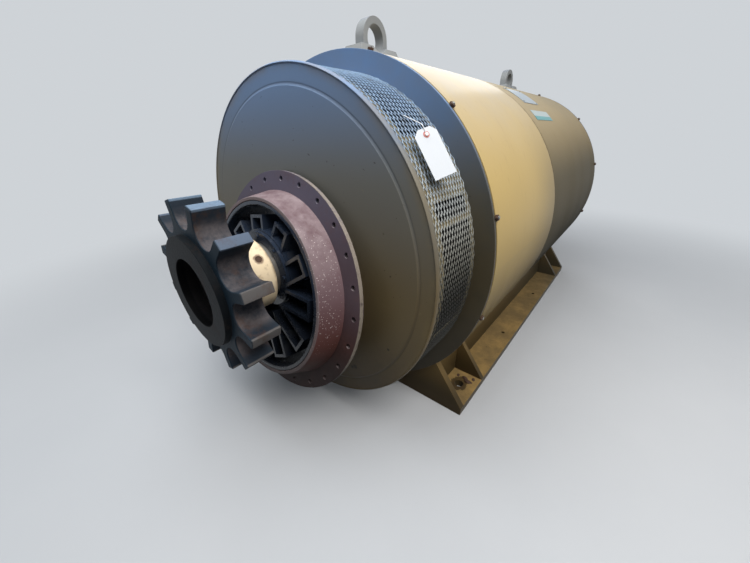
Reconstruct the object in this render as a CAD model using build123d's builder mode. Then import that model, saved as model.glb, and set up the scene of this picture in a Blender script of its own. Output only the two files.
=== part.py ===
from build123d import *
import math
import os

# Industrial generator: a round barrel on two long feet, with a screened air drum,
# an adapter ring and a toothed coupling hub at the drive end.
# Frame: +Y runs along the shaft away from the drive end, +X to one side, +Z up.
# Origin: on the floor, at the centre of the four foot bolts.

os.makedirs("parts", exist_ok=True)

# Barrel
BARREL_R = 550.0
BARREL_LENGTH = 1660.0
FLOOR_GAP = 16.0
SEAM_FROM_FRONT = 621.0
END_PLATE = 10.0
GROOVE_WIDTH = 4.0
GROOVE_DEPTH = 6.0
END_PLATE_BORE = 120.0

# Shaft, its line a little below the barrel's own centre line
SHAFT_DROP = 16.0
SHAFT_R = 90.0
JOURNAL_R = 80.0
SHAFT_END_RECESS = 46.0
SHAFT_INSIDE = 150.0
SHAFT_END_GAP = 20.0

# Screened air drum
DRUM_R = 495.0
DRUM_DEPTH = 195.0
DRUM_WALL = 3.0
DRUM_RIM = 36.0
DRUM_BACK_RIM = 16.0
COVER_PLATE = 10.0
COVER_STEP = 3.0
COVER_STEP_R = 452.0
COVER_BORE = 120.0
REAR_COVER_BORE = 110.0
SCREEN_THICK = 1.6
SCREEN_BARS = 24
SCREEN_BAR = 26.0
SCREEN_ROWS = 3
SCREEN_BAND = 14.0
POST_WIDTH = 154.0
POST_ANGLE = 32.3
BAR_WIDTH = 14.0
BAR_ANGLE = 17.5

# Adapter flange and ring, set lower than the shaft and facing a little upwards
RING_DROP = 83.0
RING_LEAN = 9.9
FLANGE_CLEAR = 10.0
FLANGE_EDGE = 21.0
FLANGE_THICK = 12.0
FLANGE_HOLES = 24
FLANGE_PCD = 630.0
FLANGE_TURN = 14.0
FLANGE_HOLE_R = 7.0
NECK_R = 278.0
NECK_LEDGE = 13.0
NECK_LEDGE_THICK = 6.5
RING_ROOT_R = 283.0
RING_R = 262.0
RING_WALL = 9.0
RING_REACH = 69.0

# Bearing bracket
BRACKET_PLATE = 34.0
BRACKET_GAP = 0.3
BRACKET_HUB_R = 116.0
BRACKET_HUB_LENGTH = 84.0
BRACKET_HUB_AHEAD = 34.0
BRACKET_RIM = 12.0
BRACKET_RIM_RECESS = 1.0
BRACKET_RIM_ROUND = 3.0
JOURNAL_FIT = 0.05
ARM_COUNT = 11
ARM_OUTER_R = 214.0
ARM_RECESS = 10.0
ARM_WIDTH = 60.0
ARM_WALL = 9.0
ARM_START = 20.0
ARM_TURN = 32.0
CAP_R = 112.0
CAP_THICK = 10.0
CAP_CLEAR = 2.0
CAP_SCREWS = 8
CAP_SCREW_R = 5.0
CAP_SCREW_HEAD = 4.0
CAP_SCREW_PCD = 200.0

# Coupling hub
HUB_FRONT = 500.0
HUB_THICK = 76.0
HUB_TIP_R = 228.0
HUB_ROOT_R = 160.0
HUB_TEETH = 12
TIP_WIDTH = 26.0
BOSS_R = 146.0
BOSS_PROUD = 17.0
HUB_TURN = 13.0
COLLAR_R = 101.0
COLLAR_LENGTH = 84.0
COLLAR_BEVEL = 6.0
COLLAR_HOLE_R = 9.0
COLLAR_HOLE_DEPTH = 7.0
COLLAR_HOLE_AT = 52.0
COLLAR_HOLE_ANGLE = 40.0

# Feet
FOOT_TUCK = 44.0
FOOT_WIDTH = 176.0
FOOT_THICK = 28.0
WEB_INSET = 123.0
WEB_THICK = 20.0
SADDLE_INSET = 27.0
SADDLE_THICK = 25.0
RAKE_RUN = 93.0
RAKE_RISE = 129.0
GUSSET_INSET = 210.0
GUSSET_THICK = 20.0
WELD_GAP = 0.3
FOOT_BOLT_INSET = 61.0
FOOT_BOLT_END = 140.0
FOOT_BOLT_R = 16.5
DOWEL_INSET = 46.0
DOWEL_Y = 504.0
DOWEL_R = 8.0

# Lifting eyes
EYE_SPACING = 1247.0
EYE_SHIFT = -18.0
EYE_THICK = 34.0
EYE_R = 58.0
EYE_HOLE_R = 38.0
EYE_HOLE_UP = 53.0
EYE_PAD_LENGTH = 196.0
EYE_PAD_WIDTH = 90.0
EYE_PAD_HEIGHT = 30.0
EYE_PAD_SLOPE = 20.0

# Cover screws round each end of the barrel
SCREW_COUNT = 12
SCREW_HEAD_R = 11.0
SCREW_HEAD = 9.0
SCREW_INSET = 14.0
SCREW_START = 15.0

# Cap over the rear bearing
REAR_CAP_R = 150.0
REAR_CAP_LENGTH = 60.0
REAR_CAP_BEVEL = 8.0
REAR_CAP_FLANGE_R = 180.0
REAR_CAP_FLANGE = 14.0
REAR_CAP_SCREWS = 8
REAR_CAP_PCD = 332.0
REAR_CAP_HEAD_R = 9.0
REAR_CAP_HEAD = 8.0

# Plate and label on the barrel
RATING_PAST_SEAM = 110.0
RATING_LENGTH = 198.0
RATING_MIDDLE = 58.0
RATING_HEIGHT = 110.0
RATING_THICK = 1.5
LABEL_LENGTH = 242.0
LABEL_MIDDLE = 44.9
LABEL_HEIGHT = 50.0
LABEL_THICK = 0.8
LABEL_PAST_SEAM = 77.0
STICK_GAP = 0.3

# Card tag tied to the screen
TAG_LENGTH = 108.0
TAG_WIDTH = 54.0
TAG_THICK = 0.8
TAG_CLIP = 12.0
TAG_ANGLE = 28.2
TAG_OUT = 34.7
TAG_AHEAD = 134.6
TAG_SIDE = (0.40, 0.87, 0.28)
TAG_FACE = (0.73, -0.49, 0.47)
EYELET_DOWN = 14.0
EYELET_R = 7.0
EYELET_BORE = 3.0
EYELET_THICK = 0.6
STRING_R = 0.9
STRING_LIFT = 0.2
STRING_PAST = 22.0
STRING_BEND = 12.0
STRING_ANCHOR_ANGLE = 47.8
STRING_AHEAD = 104.0
KNOT_R = 3.7
KNOT_THICK = 2.5

# Derived places
FRONT = -BARREL_LENGTH / 2
REAR = BARREL_LENGTH / 2
SEAM = FRONT + SEAM_FROM_FRONT
BARREL_HEIGHT = BARREL_R + FLOOR_GAP
SHAFT_Z = BARREL_HEIGHT - SHAFT_DROP
RING_Z = BARREL_HEIGHT - RING_DROP
COVER_FACE = FRONT - DRUM_DEPTH
STEP_FACE = COVER_FACE - COVER_STEP
LEAN_SIN = math.sin(math.radians(RING_LEAN))
LEAN_COS = math.cos(math.radians(RING_LEAN))
FLANGE_R = FLANGE_PCD / 2 + FLANGE_EDGE
FLANGE_AHEAD = FLANGE_CLEAR + FLANGE_R * LEAN_SIN + FLANGE_THICK * LEAN_COS
FLANGE_FACE = STEP_FACE - FLANGE_AHEAD
RING_BORE = RING_R - RING_WALL
BRACKET_SEAT = (FLANGE_AHEAD - RING_BORE * LEAN_SIN - NECK_LEDGE_THICK) / LEAN_COS
HUB_FACE = FRONT - HUB_FRONT
HUB_BACK = HUB_FACE + HUB_THICK
BOSS_FACE = HUB_FACE - BOSS_PROUD
COLLAR_BACK = HUB_BACK + COLLAR_LENGTH
BRACKET_FACE = FLANGE_FACE - BRACKET_HUB_AHEAD
BRACKET_BORE = JOURNAL_R + JOURNAL_FIT
CAP_BORE = JOURNAL_R + CAP_CLEAR
FOOT_OUTER = BARREL_R - FOOT_TUCK
FOOT_INNER = FOOT_OUTER - FOOT_WIDTH
WEB_X = FOOT_OUTER - WEB_INSET
FOOT_BOLT_Y = BARREL_LENGTH - 2 * FOOT_BOLT_END
FOOT_BOLT_X = 2 * (FOOT_OUTER - FOOT_BOLT_INSET)
DOWEL_X = 2 * (FOOT_OUTER - DOWEL_INSET)


def across(y, z=BARREL_HEIGHT):
    """Upright plane across the shaft: local x is +X, local y is +Z, normal is -Y."""
    return Plane(origin=(0, y, z), x_dir=(1, 0, 0), z_dir=(0, -1, 0))


def leaning(ahead):
    """Plane of the adapter ring, so far ahead of the flange's front face: local y is upwards."""
    place = (0, FLANGE_FACE - ahead * LEAN_COS, RING_Z + ahead * LEAN_SIN)
    return Plane(origin=place, x_dir=(1, 0, 0), z_dir=(0, -LEAN_COS, LEAN_SIN))


def finish(builder, name):
    """Label a finished piece and write its file."""
    builder.part.label = name
    export_step(builder.part, "parts/" + name + ".step")


# Closed barrel in two lengths, butted at the seam, and the plates at both ends
front_barrel_start = FRONT + END_PLATE
with BuildPart() as barrel_front:
    with BuildSketch(across(front_barrel_start)):
        Circle(BARREL_R)
    extrude(amount=-(SEAM - front_barrel_start))
    with BuildSketch(across(front_barrel_start)):
        Circle(BARREL_R)
        Circle(BARREL_R - GROOVE_DEPTH, mode=Mode.SUBTRACT)
    extrude(amount=-GROOVE_WIDTH, mode=Mode.SUBTRACT)
    with BuildSketch(across(front_barrel_start, SHAFT_Z)):
        Circle(END_PLATE_BORE)
    extrude(amount=-(SHAFT_INSIDE + SHAFT_END_GAP), mode=Mode.SUBTRACT)
finish(barrel_front, "barrel_front")
with BuildPart() as barrel_rear:
    with BuildSketch(across(SEAM)):
        Circle(BARREL_R)
    extrude(amount=-(REAR - END_PLATE - SEAM))
    with BuildSketch(across(REAR - END_PLATE - GROOVE_WIDTH)):
        Circle(BARREL_R)
        Circle(BARREL_R - GROOVE_DEPTH, mode=Mode.SUBTRACT)
    extrude(amount=-GROOVE_WIDTH, mode=Mode.SUBTRACT)
finish(barrel_rear, "barrel_rear")
rear_plate_y = REAR - END_PLATE
for name, plate_y, bore in (("front_end_plate", FRONT, END_PLATE_BORE), ("rear_end_plate", rear_plate_y, 0)):
    with BuildPart() as end_plate:
        with BuildSketch(across(plate_y)):
            Circle(BARREL_R)
            if bore:
                with Locations((0, SHAFT_Z - BARREL_HEIGHT)):
                    Circle(bore, mode=Mode.SUBTRACT)
        extrude(amount=-END_PLATE)
    finish(end_plate, name)


# Screened air drum at each end: frame, screen and cover
def drum_frame(name, mouth, facing):
    """Rims and posts that carry the screen between the end plate and the cover."""
    with BuildPart() as frame:
        with BuildSketch(across(mouth)):
            Circle(DRUM_R)
            Circle(DRUM_R - DRUM_WALL, mode=Mode.SUBTRACT)
        extrude(amount=facing * DRUM_BACK_RIM)
        cover_side = mouth - facing * (DRUM_DEPTH - COVER_PLATE)
        with BuildSketch(across(cover_side)):
            Circle(DRUM_R)
            Circle(DRUM_R - DRUM_WALL, mode=Mode.SUBTRACT)
        extrude(amount=-facing * (DRUM_RIM - COVER_PLATE))
        with BuildSketch(across(mouth)) as posts:
            for side in (0, 180):
                with PolarLocations(DRUM_R - DRUM_WALL, 1, start_angle=POST_ANGLE + side):
                    Rectangle(8 * DRUM_WALL, POST_WIDTH)
                with PolarLocations(DRUM_R - DRUM_WALL, 1, start_angle=BAR_ANGLE + side):
                    Rectangle(8 * DRUM_WALL, BAR_WIDTH)
                with PolarLocations(DRUM_R - DRUM_WALL, 1, start_angle=180 - POST_ANGLE + side):
                    Rectangle(8 * DRUM_WALL, POST_WIDTH)
                with PolarLocations(DRUM_R - DRUM_WALL, 1, start_angle=180 - BAR_ANGLE + side):
                    Rectangle(8 * DRUM_WALL, BAR_WIDTH)
            Circle(DRUM_R, mode=Mode.INTERSECT)
            Circle(DRUM_R - DRUM_WALL, mode=Mode.SUBTRACT)
        extrude(amount=facing * (DRUM_DEPTH - COVER_PLATE))
    finish(frame, name)


def drum_cover(name, mouth, facing, bore):
    """Flat cover plate with a low raised step, round the shaft."""
    back = mouth - facing * (DRUM_DEPTH - COVER_PLATE)
    with BuildPart() as cover:
        with BuildSketch(across(back)):
            Circle(DRUM_R)
        extrude(amount=facing * COVER_PLATE)
        with BuildSketch(across(mouth - facing * DRUM_DEPTH)):
            Circle(COVER_STEP_R)
        extrude(amount=facing * COVER_STEP, taper=45)
        with BuildSketch(across(back, SHAFT_Z)):
            Circle(bore)
        extrude(amount=facing * (COVER_PLATE + COVER_STEP), mode=Mode.SUBTRACT)
    finish(cover, name)


def drum_screen(name, mouth, facing):
    """Open screen wrapped round the drum frame: bands round it, joined by bars along it."""
    screen_r = DRUM_R + STICK_GAP
    band_pitch = (DRUM_DEPTH - SCREEN_BAND) / SCREEN_ROWS
    with BuildPart() as screen:
        with BuildSketch(across(mouth)):
            with PolarLocations(screen_r, SCREEN_BARS, start_angle=STRING_ANCHOR_ANGLE):
                Rectangle(8 * SCREEN_THICK, SCREEN_BAR)
            Circle(screen_r + SCREEN_THICK, mode=Mode.INTERSECT)
            Circle(screen_r, mode=Mode.SUBTRACT)
        extrude(amount=facing * DRUM_DEPTH)
        for row in range(SCREEN_ROWS + 1):
            with BuildSketch(across(mouth - facing * row * band_pitch)):
                Circle(screen_r + SCREEN_THICK)
                Circle(screen_r, mode=Mode.SUBTRACT)
            extrude(amount=facing * SCREEN_BAND)
    finish(screen, name)


drum_frame("front_drum_frame", FRONT, 1)
drum_screen("front_drum_screen", FRONT, 1)
drum_cover("front_drum_cover", FRONT, 1, COVER_BORE)
drum_frame("rear_drum_frame", REAR, -1)
drum_screen("rear_drum_screen", REAR, -1)
drum_cover("rear_drum_cover", REAR, -1, REAR_COVER_BORE)

# Cap over the rear bearing, opposite the drive end
rear_face = REAR + DRUM_DEPTH + COVER_STEP
with BuildPart() as rear_cap:
    with BuildSketch(across(rear_face, SHAFT_Z)):
        Circle(REAR_CAP_FLANGE_R)
    extrude(amount=-REAR_CAP_FLANGE)
    with BuildSketch(across(rear_face, SHAFT_Z)):
        Circle(REAR_CAP_R)
    extrude(amount=-REAR_CAP_LENGTH)
    chamfer(rear_cap.faces().sort_by(Axis.Y)[-1].edges(), REAR_CAP_BEVEL)
    with BuildSketch(across(rear_face + REAR_CAP_FLANGE, SHAFT_Z)):
        with PolarLocations(REAR_CAP_PCD / 2, REAR_CAP_SCREWS):
            RegularPolygon(REAR_CAP_HEAD_R, 6)
    extrude(amount=-REAR_CAP_HEAD)
finish(rear_cap, "rear_bearing_cap")

# Adapter flange on a wedge-shaped neck against the drive end cover, and the ring on its face
neck_length = 2 * FLANGE_AHEAD
with BuildPart() as flange:
    with BuildSketch(leaning(-FLANGE_THICK)):
        Circle(FLANGE_R)
        Circle(RING_BORE, mode=Mode.SUBTRACT)
        with PolarLocations(FLANGE_PCD / 2, FLANGE_HOLES, start_angle=FLANGE_TURN):
            Circle(FLANGE_HOLE_R, mode=Mode.SUBTRACT)
    extrude(amount=FLANGE_THICK)
    with BuildSketch(leaning(-FLANGE_THICK)):
        Circle(NECK_R)
        Circle(RING_BORE, mode=Mode.SUBTRACT)
    extrude(amount=-neck_length)
    with BuildSketch(leaning(-BRACKET_SEAT)):
        Circle(NECK_R)
        Circle(RING_BORE - NECK_LEDGE, mode=Mode.SUBTRACT)
    extrude(amount=-neck_length)
    with BuildSketch(across(STEP_FACE, RING_Z)):
        Circle(2 * FLANGE_R)
    extrude(amount=-2 * neck_length, mode=Mode.SUBTRACT)
finish(flange, "adapter_flange")
ring_taper = math.degrees(math.atan((RING_ROOT_R - RING_R) / RING_REACH))
with BuildPart() as ring:
    with BuildSketch(leaning(0)):
        Circle(RING_ROOT_R)
    extrude(amount=RING_REACH, taper=ring_taper)
    with BuildSketch(leaning(0)):
        Circle(RING_BORE)
    extrude(amount=RING_REACH, mode=Mode.SUBTRACT)
finish(ring, "adapter_ring")

# Bearing bracket that fills the ring: a plate with a rim and open-fronted arms, and a hub round the shaft
bracket_r = RING_BORE - BRACKET_GAP
arm_length = ARM_OUTER_R - ARM_START
plate_ahead = BRACKET_PLATE - BRACKET_SEAT
with BuildPart() as bracket:
    with BuildSketch(leaning(-BRACKET_SEAT)):
        Circle(bracket_r)
    extrude(amount=BRACKET_PLATE)
    with BuildSketch(leaning(plate_ahead)):
        Circle(bracket_r)
        Circle(bracket_r - BRACKET_RIM, mode=Mode.SUBTRACT)
    extrude(amount=RING_REACH - BRACKET_RIM_RECESS - plate_ahead)
    rim_face = bracket.faces().sort_by(Axis((0, 0, 0), (0, -LEAN_COS, LEAN_SIN)))[-1]
    fillet(rim_face.edges(), BRACKET_RIM_ROUND)
    with BuildSketch(leaning(plate_ahead)):
        with PolarLocations(ARM_START + arm_length / 2, ARM_COUNT, start_angle=ARM_TURN):
            Rectangle(arm_length, ARM_WIDTH)
        with PolarLocations(ARM_START + arm_length / 2 - ARM_WALL / 2, ARM_COUNT, start_angle=ARM_TURN):
            Rectangle(arm_length - ARM_WALL, ARM_WIDTH - 2 * ARM_WALL, mode=Mode.SUBTRACT)
    extrude(amount=RING_REACH - ARM_RECESS - plate_ahead)
    with BuildSketch(across(BRACKET_FACE + BRACKET_HUB_LENGTH, SHAFT_Z)):
        Circle(BRACKET_HUB_R)
    extrude(amount=BRACKET_HUB_LENGTH)
    with BuildSketch(across(BRACKET_FACE, SHAFT_Z)):
        Circle(BRACKET_HUB_R)
    extrude(amount=RING_REACH, mode=Mode.SUBTRACT)
    with BuildSketch(across(STEP_FACE, SHAFT_Z)):
        Circle(BRACKET_BORE)
    extrude(amount=STEP_FACE - BRACKET_FACE, mode=Mode.SUBTRACT)
finish(bracket, "bearing_bracket")

# Bearing cap round the shaft
with BuildPart() as cap:
    with BuildSketch(across(BRACKET_FACE, SHAFT_Z)):
        Circle(CAP_R)
        Circle(CAP_BORE, mode=Mode.SUBTRACT)
    extrude(amount=CAP_THICK)
    with BuildSketch(across(BRACKET_FACE - CAP_THICK, SHAFT_Z)):
        with PolarLocations(CAP_SCREW_PCD / 2, CAP_SCREWS):
            RegularPolygon(CAP_SCREW_R, 6)
    extrude(amount=CAP_SCREW_HEAD)
finish(cap, "bearing_cap")

# Shaft: bearing journal behind, coupling seat in front, its inner end hidden in the barrel
journal_front = COLLAR_BACK
shaft_face = BOSS_FACE + SHAFT_END_RECESS
shaft_back = FRONT + END_PLATE + SHAFT_INSIDE
with BuildPart() as shaft:
    with BuildSketch(across(shaft_face, SHAFT_Z)):
        Circle(SHAFT_R)
    extrude(amount=-(journal_front - shaft_face))
    with BuildSketch(across(journal_front, SHAFT_Z)):
        Circle(JOURNAL_R)
    extrude(amount=-(shaft_back - journal_front))
finish(shaft, "shaft")

# Coupling hub: straight-sided teeth with a round pocket between each two, and a raised boss ring
half_turn = math.radians(180 / HUB_TEETH)
pocket_at = (HUB_ROOT_R - TIP_WIDTH / 2) / (1 - math.sin(half_turn))
pocket_r = pocket_at - HUB_ROOT_R
flank_start = pocket_at * math.cos(half_turn)
flank_end = HUB_TIP_R + TIP_WIDTH


def flank_point(along):
    """Point on one side of a tooth, seen from the middle line of the pocket beside it."""
    return (
        along * math.cos(half_turn) + TIP_WIDTH / 2 * math.sin(half_turn),
        along * math.sin(half_turn) - TIP_WIDTH / 2 * math.cos(half_turn),
    )


inner_flank = flank_point(flank_start)
outer_flank = flank_point(flank_end)
with BuildPart() as hub:
    with BuildSketch(across(HUB_BACK, SHAFT_Z)):
        Circle(HUB_TIP_R)
        with PolarLocations(0, HUB_TEETH, start_angle=HUB_TURN + 180 / HUB_TEETH):
            Polygon(
                inner_flank,
                outer_flank,
                (outer_flank[0], -outer_flank[1]),
                (inner_flank[0], -inner_flank[1]),
                align=None,
                mode=Mode.SUBTRACT,
            )
        with PolarLocations(pocket_at, HUB_TEETH, start_angle=HUB_TURN + 180 / HUB_TEETH):
            Circle(pocket_r, mode=Mode.SUBTRACT)
    extrude(amount=HUB_THICK)
    with BuildSketch(across(HUB_BACK, SHAFT_Z)):
        Circle(BOSS_R)
    extrude(amount=HUB_THICK + BOSS_PROUD)
    with BuildSketch(across(HUB_BACK, SHAFT_Z)):
        Circle(SHAFT_R)
    extrude(amount=HUB_THICK + BOSS_PROUD, mode=Mode.SUBTRACT)
finish(hub, "coupling_hub")

# Painted collar behind the hub
with BuildPart() as collar:
    with BuildSketch(across(HUB_BACK, SHAFT_Z)):
        Circle(COLLAR_R)
    extrude(amount=-COLLAR_LENGTH)
    chamfer(collar.faces().sort_by(Axis.Y)[-1].edges(), COLLAR_BEVEL)
    with BuildSketch(across(HUB_BACK, SHAFT_Z)):
        Circle(SHAFT_R)
    extrude(amount=-COLLAR_LENGTH, mode=Mode.SUBTRACT)
    turn = math.radians(COLLAR_HOLE_ANGLE)
    out = (math.cos(turn), 0, math.sin(turn))
    hole_place = (COLLAR_R * out[0], HUB_BACK + COLLAR_HOLE_AT, SHAFT_Z + COLLAR_R * out[2])
    with BuildSketch(Plane(origin=hole_place, x_dir=(0, 1, 0), z_dir=out)):
        Circle(COLLAR_HOLE_R)
    extrude(amount=-COLLAR_HOLE_DEPTH, mode=Mode.SUBTRACT)
finish(collar, "coupling_collar")

# Feet: long foot plates with upright webs, gussets, and a saddle plate at each end
saddle_front = FRONT + SADDLE_INSET
saddle_rear = REAR - SADDLE_INSET - SADDLE_THICK
clear_r = BARREL_R + WELD_GAP
rake_foot = (FOOT_OUTER, FOOT_THICK)
rake_top_x = FOOT_OUTER - 2 * RAKE_RUN
rake_top_z = FOOT_THICK + 2 * RAKE_RISE
foot_y = saddle_front + SADDLE_THICK
foot_length = saddle_rear - foot_y
for name, saddle_y in (("front_saddle_plate", saddle_front), ("rear_saddle_plate", saddle_rear)):
    with BuildPart() as saddle:
        with BuildSketch(across(saddle_y, 0)):
            with BuildLine():
                Polyline(
                    (-FOOT_OUTER, 0),
                    (FOOT_OUTER, 0),
                    rake_foot,
                    (rake_top_x, rake_top_z),
                    (-rake_top_x, rake_top_z),
                    (-FOOT_OUTER, FOOT_THICK),
                    close=True,
                )
            make_face()
            with Locations((0, BARREL_HEIGHT)):
                Circle(clear_r, mode=Mode.SUBTRACT)
        extrude(amount=-SADDLE_THICK)
    finish(saddle, name)

for side_name, side in (("right", 1), ("left", -1)):
    with BuildPart() as foot:
        with BuildSketch(Plane.XY):
            with Locations((side * (FOOT_OUTER + FOOT_INNER) / 2, foot_y + foot_length / 2)):
                Rectangle(FOOT_OUTER - FOOT_INNER, foot_length)
            with Locations(*[(side * FOOT_BOLT_X / 2, end * FOOT_BOLT_Y / 2) for end in (-1, 1)]):
                Circle(FOOT_BOLT_R, mode=Mode.SUBTRACT)
            with Locations(*[(side * DOWEL_X / 2, end * DOWEL_Y / 2) for end in (-1, 1)]):
                Circle(DOWEL_R, mode=Mode.SUBTRACT)
        extrude(amount=FOOT_THICK)
    finish(foot, side_name + "_foot_plate")
    with BuildPart() as web:
        with BuildSketch(across(foot_y, 0)):
            with Locations((side * WEB_X, BARREL_HEIGHT / 2)):
                Rectangle(WEB_THICK, BARREL_HEIGHT - 2 * FOOT_THICK)
            with Locations((0, BARREL_HEIGHT)):
                Circle(clear_r, mode=Mode.SUBTRACT)
        extrude(amount=-foot_length)
    finish(web, side_name + "_foot_web")
    with BuildPart() as gussets:
        web_face = WEB_X + WEB_THICK / 2
        gusset_top = FOOT_THICK + (FOOT_OUTER - web_face) * RAKE_RISE / RAKE_RUN
        for gusset_y in (FRONT + GUSSET_INSET, REAR - GUSSET_INSET - GUSSET_THICK):
            with BuildSketch(across(gusset_y, 0)):
                with BuildLine():
                    Polyline(
                        (side * web_face, FOOT_THICK),
                        (side * FOOT_OUTER, FOOT_THICK),
                        (side * web_face, gusset_top),
                        close=True,
                    )
                make_face()
                with Locations((0, BARREL_HEIGHT)):
                    Circle(clear_r, mode=Mode.SUBTRACT)
            extrude(amount=-GUSSET_THICK)
    finish(gussets, side_name + "_foot_gussets")

# Lifting eyes on top of the barrel: an arched plate on a sloping pad
barrel_top = BARREL_HEIGHT + BARREL_R
pad_foot = math.sqrt(BARREL_R**2 - (EYE_PAD_WIDTH / 2) ** 2)
pad_depth = EYE_PAD_HEIGHT + BARREL_R - pad_foot
for name, eye_y in (
    ("front_lifting_eye", EYE_SHIFT - EYE_SPACING / 2),
    ("rear_lifting_eye", EYE_SHIFT + EYE_SPACING / 2),
):
    with BuildPart() as eye:
        with BuildSketch(Plane.XY.offset(BARREL_HEIGHT + pad_foot)):
            with Locations((0, eye_y)):
                Rectangle(EYE_PAD_WIDTH, EYE_PAD_LENGTH)
        extrude(amount=pad_depth, taper=EYE_PAD_SLOPE)
        with BuildSketch(Plane.YZ.offset(-EYE_THICK / 2)):
            with Locations((eye_y, barrel_top + EYE_HOLE_UP)):
                Circle(EYE_R)
            with Locations((eye_y, BARREL_HEIGHT + pad_foot + (EYE_HOLE_UP + BARREL_R - pad_foot) / 2)):
                Rectangle(2 * EYE_R, EYE_HOLE_UP + BARREL_R - pad_foot)
        extrude(amount=EYE_THICK)
        with BuildSketch(Plane.YZ.offset(-EYE_PAD_WIDTH)):
            with Locations((eye_y, barrel_top + EYE_HOLE_UP)):
                Circle(EYE_HOLE_R)
        extrude(amount=2 * EYE_PAD_WIDTH, mode=Mode.SUBTRACT)
        with BuildSketch(across(eye_y - EYE_PAD_LENGTH)):
            Circle(clear_r)
        extrude(amount=-2 * EYE_PAD_LENGTH, mode=Mode.SUBTRACT)
    finish(eye, name)

# Screws round each end of the barrel
saddle_top = FOOT_THICK + (FOOT_OUTER - WEB_X - WEB_THICK / 2) * RAKE_RISE / RAKE_RUN
for name, screw_y in (("front_cover_screws", FRONT + SCREW_INSET), ("rear_cover_screws", REAR - SCREW_INSET)):
    with BuildPart() as screws:
        for i in range(SCREW_COUNT):
            turn = math.radians(SCREW_START + i * 360 / SCREW_COUNT)
            if BARREL_HEIGHT + BARREL_R * math.sin(turn) < saddle_top + SCREW_HEAD_R:
                continue
            out = (math.cos(turn), 0, math.sin(turn))
            seat = BARREL_R + STICK_GAP
            place = (seat * out[0], screw_y, BARREL_HEIGHT + seat * out[2])
            with BuildSketch(Plane(origin=place, x_dir=(0, 1, 0), z_dir=out)):
                Circle(SCREW_HEAD_R)
            extrude(amount=SCREW_HEAD)
    finish(screws, name)


# Rating plate and label stuck on the barrel
def stuck_sheet(name, start, length, middle, height, thick):
    """Thin curved sheet on the barrel, centred at an angle up from +X."""
    seat = BARREL_R + STICK_GAP
    half = math.degrees(height / 2 / BARREL_R)
    with BuildPart() as sheet:
        with BuildSketch(across(start)):
            with BuildLine():
                inner = CenterArc((0, 0), seat, middle - half, 2 * half)
                outer = CenterArc((0, 0), seat + thick, middle - half, 2 * half)
                Line(inner @ 0, outer @ 0)
                Line(inner @ 1, outer @ 1)
            make_face()
        extrude(amount=-length)
    finish(sheet, name)


rating_start = SEAM + RATING_PAST_SEAM
label_start = SEAM + LABEL_PAST_SEAM
stuck_sheet("rating_plate", rating_start, RATING_LENGTH, RATING_MIDDLE, RATING_HEIGHT, RATING_THICK)
stuck_sheet("side_label", label_start, LABEL_LENGTH, LABEL_MIDDLE, LABEL_HEIGHT, LABEL_THICK)

# Card tag with a ringed hole, tied to the screen by a short string
tag_turn = math.radians(TAG_ANGLE)
tag_r = DRUM_R + TAG_OUT
tag_corner = (tag_r * math.cos(tag_turn), FRONT - TAG_AHEAD, BARREL_HEIGHT + tag_r * math.sin(tag_turn))
tag_plane = Plane(origin=tag_corner, x_dir=TAG_SIDE, z_dir=TAG_FACE)
with BuildPart() as tag:
    with BuildSketch(tag_plane):
        with BuildLine():
            Polyline(
                (-TAG_WIDTH / 2, 0),
                (TAG_WIDTH / 2, 0),
                (TAG_WIDTH / 2, TAG_LENGTH - TAG_CLIP),
                (TAG_WIDTH / 2 - TAG_CLIP, TAG_LENGTH),
                (TAG_CLIP - TAG_WIDTH / 2, TAG_LENGTH),
                (-TAG_WIDTH / 2, TAG_LENGTH - TAG_CLIP),
                close=True,
            )
        make_face()
        with Locations((0, TAG_LENGTH - EYELET_DOWN)):
            Circle(EYELET_BORE, mode=Mode.SUBTRACT)
    extrude(amount=TAG_THICK)
finish(tag, "card_tag")
with BuildPart() as eyelet:
    with BuildSketch(tag_plane.offset(TAG_THICK)):
        with Locations((0, TAG_LENGTH - EYELET_DOWN)):
            Circle(EYELET_R)
            Circle(EYELET_BORE, mode=Mode.SUBTRACT)
    extrude(amount=EYELET_THICK)
finish(eyelet, "tag_eyelet")

# String: a knot on the eyelet, a run over the card's end, and its own end on the screen
anchor_turn = math.radians(STRING_ANCHOR_ANGLE)
anchor_r = DRUM_R + STICK_GAP + SCREEN_THICK + STRING_R
anchor = Vector(
    anchor_r * math.cos(anchor_turn),
    FRONT - STRING_AHEAD,
    BARREL_HEIGHT + anchor_r * math.sin(anchor_turn),
)
knot_plane = tag_plane.offset(TAG_THICK + EYELET_THICK)
knot_up = TAG_LENGTH - EYELET_DOWN
knot = knot_plane.from_local_coords(Vector(0, knot_up, STRING_R + STRING_LIFT))
over_end = knot_plane.from_local_coords(Vector(0, knot_up + STRING_PAST, STRING_R + STRING_LIFT))
with BuildPart() as string:
    with BuildLine() as string_path:
        FilletPolyline(knot, over_end, anchor, radius=STRING_BEND)
    with BuildSketch(Plane(origin=string_path.line @ 0, z_dir=string_path.line % 0)):
        Circle(STRING_R)
    sweep(path=string_path.line)
    with BuildSketch(knot_plane):
        with Locations((0, knot_up)):
            Circle(KNOT_R)
    extrude(amount=KNOT_THICK)
finish(string, "tag_string")
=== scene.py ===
import math
import random

import bmesh
import bpy
from mathutils import Matrix, Vector


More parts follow.
